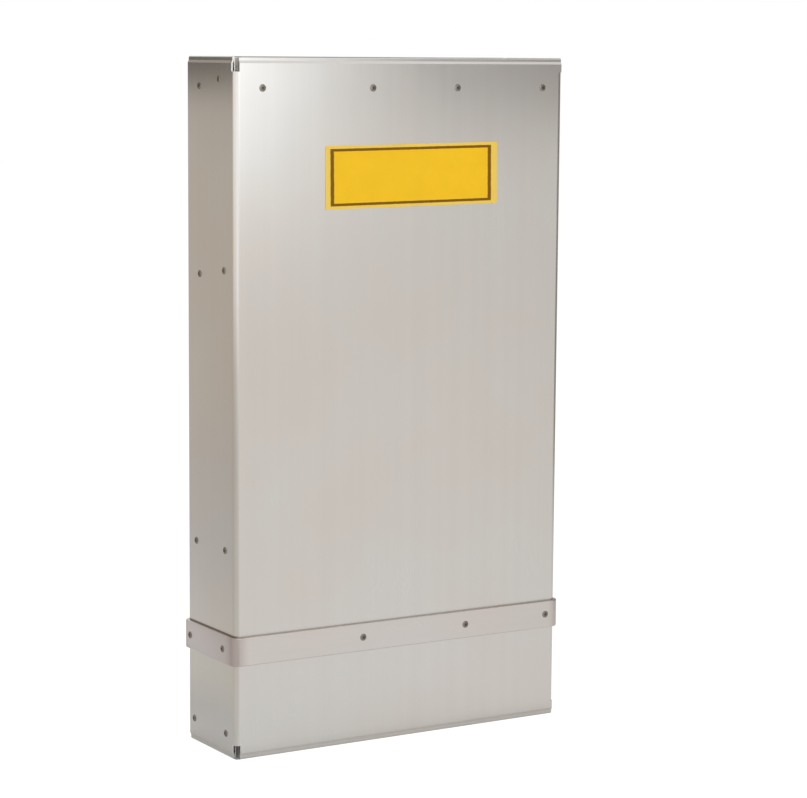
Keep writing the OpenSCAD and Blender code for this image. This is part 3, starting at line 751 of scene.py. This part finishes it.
    def cards(self):
        """Soft grey cards, out of view, that give the steel its darker and lighter reflections."""
        front, left = -0.5, -0.26
        even = [(0.0, "ffffff"), (1.0, "ffffff")]
        self.card("card front, bright", (-0.12, front), (0.2, front), (0.3, 1.3), (0.34, 0.63), 3.15,
                  [(0.0, "d8dee6"), (0.3, "f4faff"), (0.5, "eef6fe"), (0.62, "cdd2d6"), (0.78, "b1b4b6"),
                   (1.0, "9c9ea0")],
                  [(0.0, "f1f1f1"), (0.265, "f4f4f4"), (0.29, "ffffff"), (0.38, "ffffff"), (0.5, "dcdcdc")])
        self.card("card front, grey", (0.2, front), (0.8, front), (0.45, 0.8), (0.52, 0.6), 1.0,
                  [(0.0, "f0f2f2"), (0.08, "a4a6a8"), (0.2, "adafb1"), (0.3, "b0b3b7"), (0.45, "a8aaaa"),
                   (0.6, "8a8a88"), (1.0, "6a6a68")],
                  [(0.0, "ffffff"), (0.7, "ffffff"), (1.0, "e0e0e0")])
        self.card("card front, high", (0.1, front), (0.9, front), (0.8, 1.15), (0.8, 0.86), 1.5,
                  [(0.0, "eef5fe"), (1.0, "eef5fe")], even)
        self.card("card front left", (-0.56, -0.62), (-0.2, -0.62), (0.18, 1.2), (0.2, 0.36), 1.8,
                  [(0.0, "eff6fe"), (1.0, "eff6fe")], even)
        self.card("card left", (left, -0.2), (left, 0.0), (0.0, 1.0), (-0.05, 0.0), 1.45,
                  [(0.0, "ffffff"), (0.5, "ffffff"), (0.77, "faf9f8"), (1.0, "edece9")],
                  [(0.0, "cacac8"), (0.12, "c4c3c0"), (0.25, "bdbbb7"), (0.33, "c6c4c0"), (0.41, "e6e5e2"),
                   (0.55, "fafafa")])
        self.card("card back left", (left, 0.0), (left, 0.9), (0.0, 1.0), (-0.05, 0.0), 1.35,
                  [(0.0, "d2ccc4"), (0.15, "d2ccc4"), (0.17, "d8d2ca"), (0.22, "e1dbd3"), (1.0, "e1dbd3")],
                  [(0.0, "f1f9fe"), (0.05, "eff5fa"), (0.14, "e0e5ef"), (0.22, "dee1e6"), (0.3, "e1e1e1"),
                   (0.42, "dedede"), (0.5, "dfdfdf"), (0.565, "d6d6d6"), (0.6, "7b7b7b"), (0.66, "787878"),
                   (0.74, "d9d9d9"), (1.0, "d9d9d9")])
        self.card("card right", (0.75, -0.5), (0.75, 0.8), (0.0, 1.05), (0.02, 0.2), 1.0,
                  [(0.0, "767670"), (0.25, "8c8c84"), (0.4, "b8b8ae"), (1.0, "b4b4aa")], even)
        self.card("card above", (-0.7, 0.0), (0.7, 0.0), (1.0, 2.4), (0.0, 0.1), 1.0,
                  [(0.0, "605c56"), (1.0, "605c56")], even, 1.7)

    def card(self, name, start, end, heights, foot, strength, along, up, level=None):
        """One upright card between two spots on the floor, or a flat one at a level. Its colour is the product of its
        tones along it and up it, whose stops are shares of its size, and foot holds the heights between which its
        lower edge fades in."""
        start_fresh()
        bpy.ops.mesh.primitive_plane_add(size=1, location=(0, 0, 0))
        made = bpy.context.object
        made.name = name
        run, rise = Vector(end) - Vector(start), heights[1] - heights[0]
        middle = (Vector(start) + Vector(end)) / 2
        lean = 0 if level else math.pi / 2      # a card with a level lies flat
        made.data.transform(Matrix.Translation((*middle, level or sum(heights) / 2))
                            @ Matrix.Rotation(math.atan2(run.y, run.x), 4, "Z") @ Matrix.Rotation(lean, 4, "X")
                            @ Matrix.Diagonal((run.length, rise, 1, 1)))
        material, tree = new_material(name)
        coordinates = add(tree, "ShaderNodeTexCoord").outputs
        across = add(tree, "ShaderNodeSeparateXYZ", {"Vector": coordinates["UV"]}).outputs
        height = add(tree, "ShaderNodeSeparateXYZ", {"Vector": coordinates["Object"]}).outputs["Z"]
        tones = [add(tree, "ShaderNodeValToRGB", {"Fac": across[part]}, [(at, linear(tone)) for at, tone in stops])
                 for part, stops in (("X", along), ("Y", up))]
        product = add(tree, "ShaderNodeMix", {"Factor": 1.0, "A": tones[0], "B": tones[1]},
                      data_type="RGBA", blend_type="MULTIPLY")
        glow = add(tree, "ShaderNodeEmission", {"Color": product, "Strength": strength})
        shown = add(tree, "ShaderNodeMapRange", {"Value": height, "From Min": foot[0], "From Max": foot[1]},
                    interpolation_type="SMOOTHSTEP")
        both = add(tree, "ShaderNodeMixShader", {0: shown, 1: add(tree, "ShaderNodeBsdfTransparent"), 2: glow})
        add(tree, "ShaderNodeOutputMaterial", {"Surface": both})
        made.data.materials.append(material)
        made.visible_camera = made.visible_diffuse = made.visible_shadow = False
        made.visible_transmission = made.visible_volume_scatter = False

    def lamp(self, name, place, aim, size, power):
        data = bpy.data.lights.new(name, "AREA")
        data.shape, data.size, data.energy = "DISK", size, power
        made = bpy.data.objects.new(name, data)
        bpy.context.collection.objects.link(made)
        made.location = place
        made.rotation_euler = (Vector(aim) - Vector(place)).to_track_quat("-Z", "Y").to_euler()
        made.visible_camera = False
        made.visible_glossy = False

    def camera(self, context, look):
        data = bpy.data.cameras.new("camera")
        data.lens, data.sensor_width = look.lens, 36
        made = bpy.data.objects.new("camera", data)
        context.collection.objects.link(made)
        ahead = Vector((math.sin(look.yaw) * math.cos(look.pitch), math.cos(look.yaw) * math.cos(look.pitch),
                        -math.sin(look.pitch)))
        right = Vector((math.cos(look.yaw), -math.sin(look.yaw), 0))
        down = ahead.cross(right)
        across = right * math.cos(look.roll) - down * math.sin(look.roll)
        under = right * math.sin(look.roll) + down * math.cos(look.roll)
        made.matrix_world = Matrix.Translation(look.place) @ Matrix((across, -under, -ahead)).transposed().to_4x4()
        context.scene.camera = made
        context.scene.view_settings.view_transform = "Standard"


class CHUTE_PT_panel(bpy.types.Panel):
    """Lists the chute's pieces and settings"""
    bl_idname = "CHUTE_PT_panel"
    bl_label = "Lamp feed chute"
    bl_space_type = "VIEW_3D"
    bl_region_type = "UI"
    bl_category = "Chute"

    def draw(self, context):
        for operator in OPERATORS:
            self.layout.operator(operator.bl_idname)
        for name in SETTINGS:
            box = self.layout.box()
            group = getattr(context.scene, name)
            for prop in group.bl_rna.properties:
                if prop.identifier not in ("rna_type", "name"):
                    box.prop(group, prop.identifier)


SETTINGS = {
    "chute_sheet": SheetFinish, "chute_strap": StrapFinish, "chute_rivets": RivetFinish, "chute_seal": SealFinish,
    "chute_plate": PlateFinish, "chute_studio": Studio,
}
OPERATORS = (CHUTE_OT_sheet, CHUTE_OT_strap, CHUTE_OT_rivets, CHUTE_OT_plate, CHUTE_OT_seal, CHUTE_OT_stage)


def register():
    for made in (*SETTINGS.values(), *OPERATORS, CHUTE_PT_panel):
        bpy.utils.register_class(made)
    for name, group in SETTINGS.items():
        setattr(bpy.types.Scene, name, PointerProperty(type=group))


def unregister():
    for name in SETTINGS:
        delattr(bpy.types.Scene, name)
    for made in reversed((*SETTINGS.values(), *OPERATORS, CHUTE_PT_panel)):
        bpy.utils.unregister_class(made)


def main():
    register()
    bpy.ops.chute.sheet()
    bpy.ops.chute.strap()
    bpy.ops.chute.rivets()
    bpy.ops.chute.plate()
    bpy.ops.chute.seal()
    bpy.ops.chute.stage()


if __name__ == "__main__":
    main()
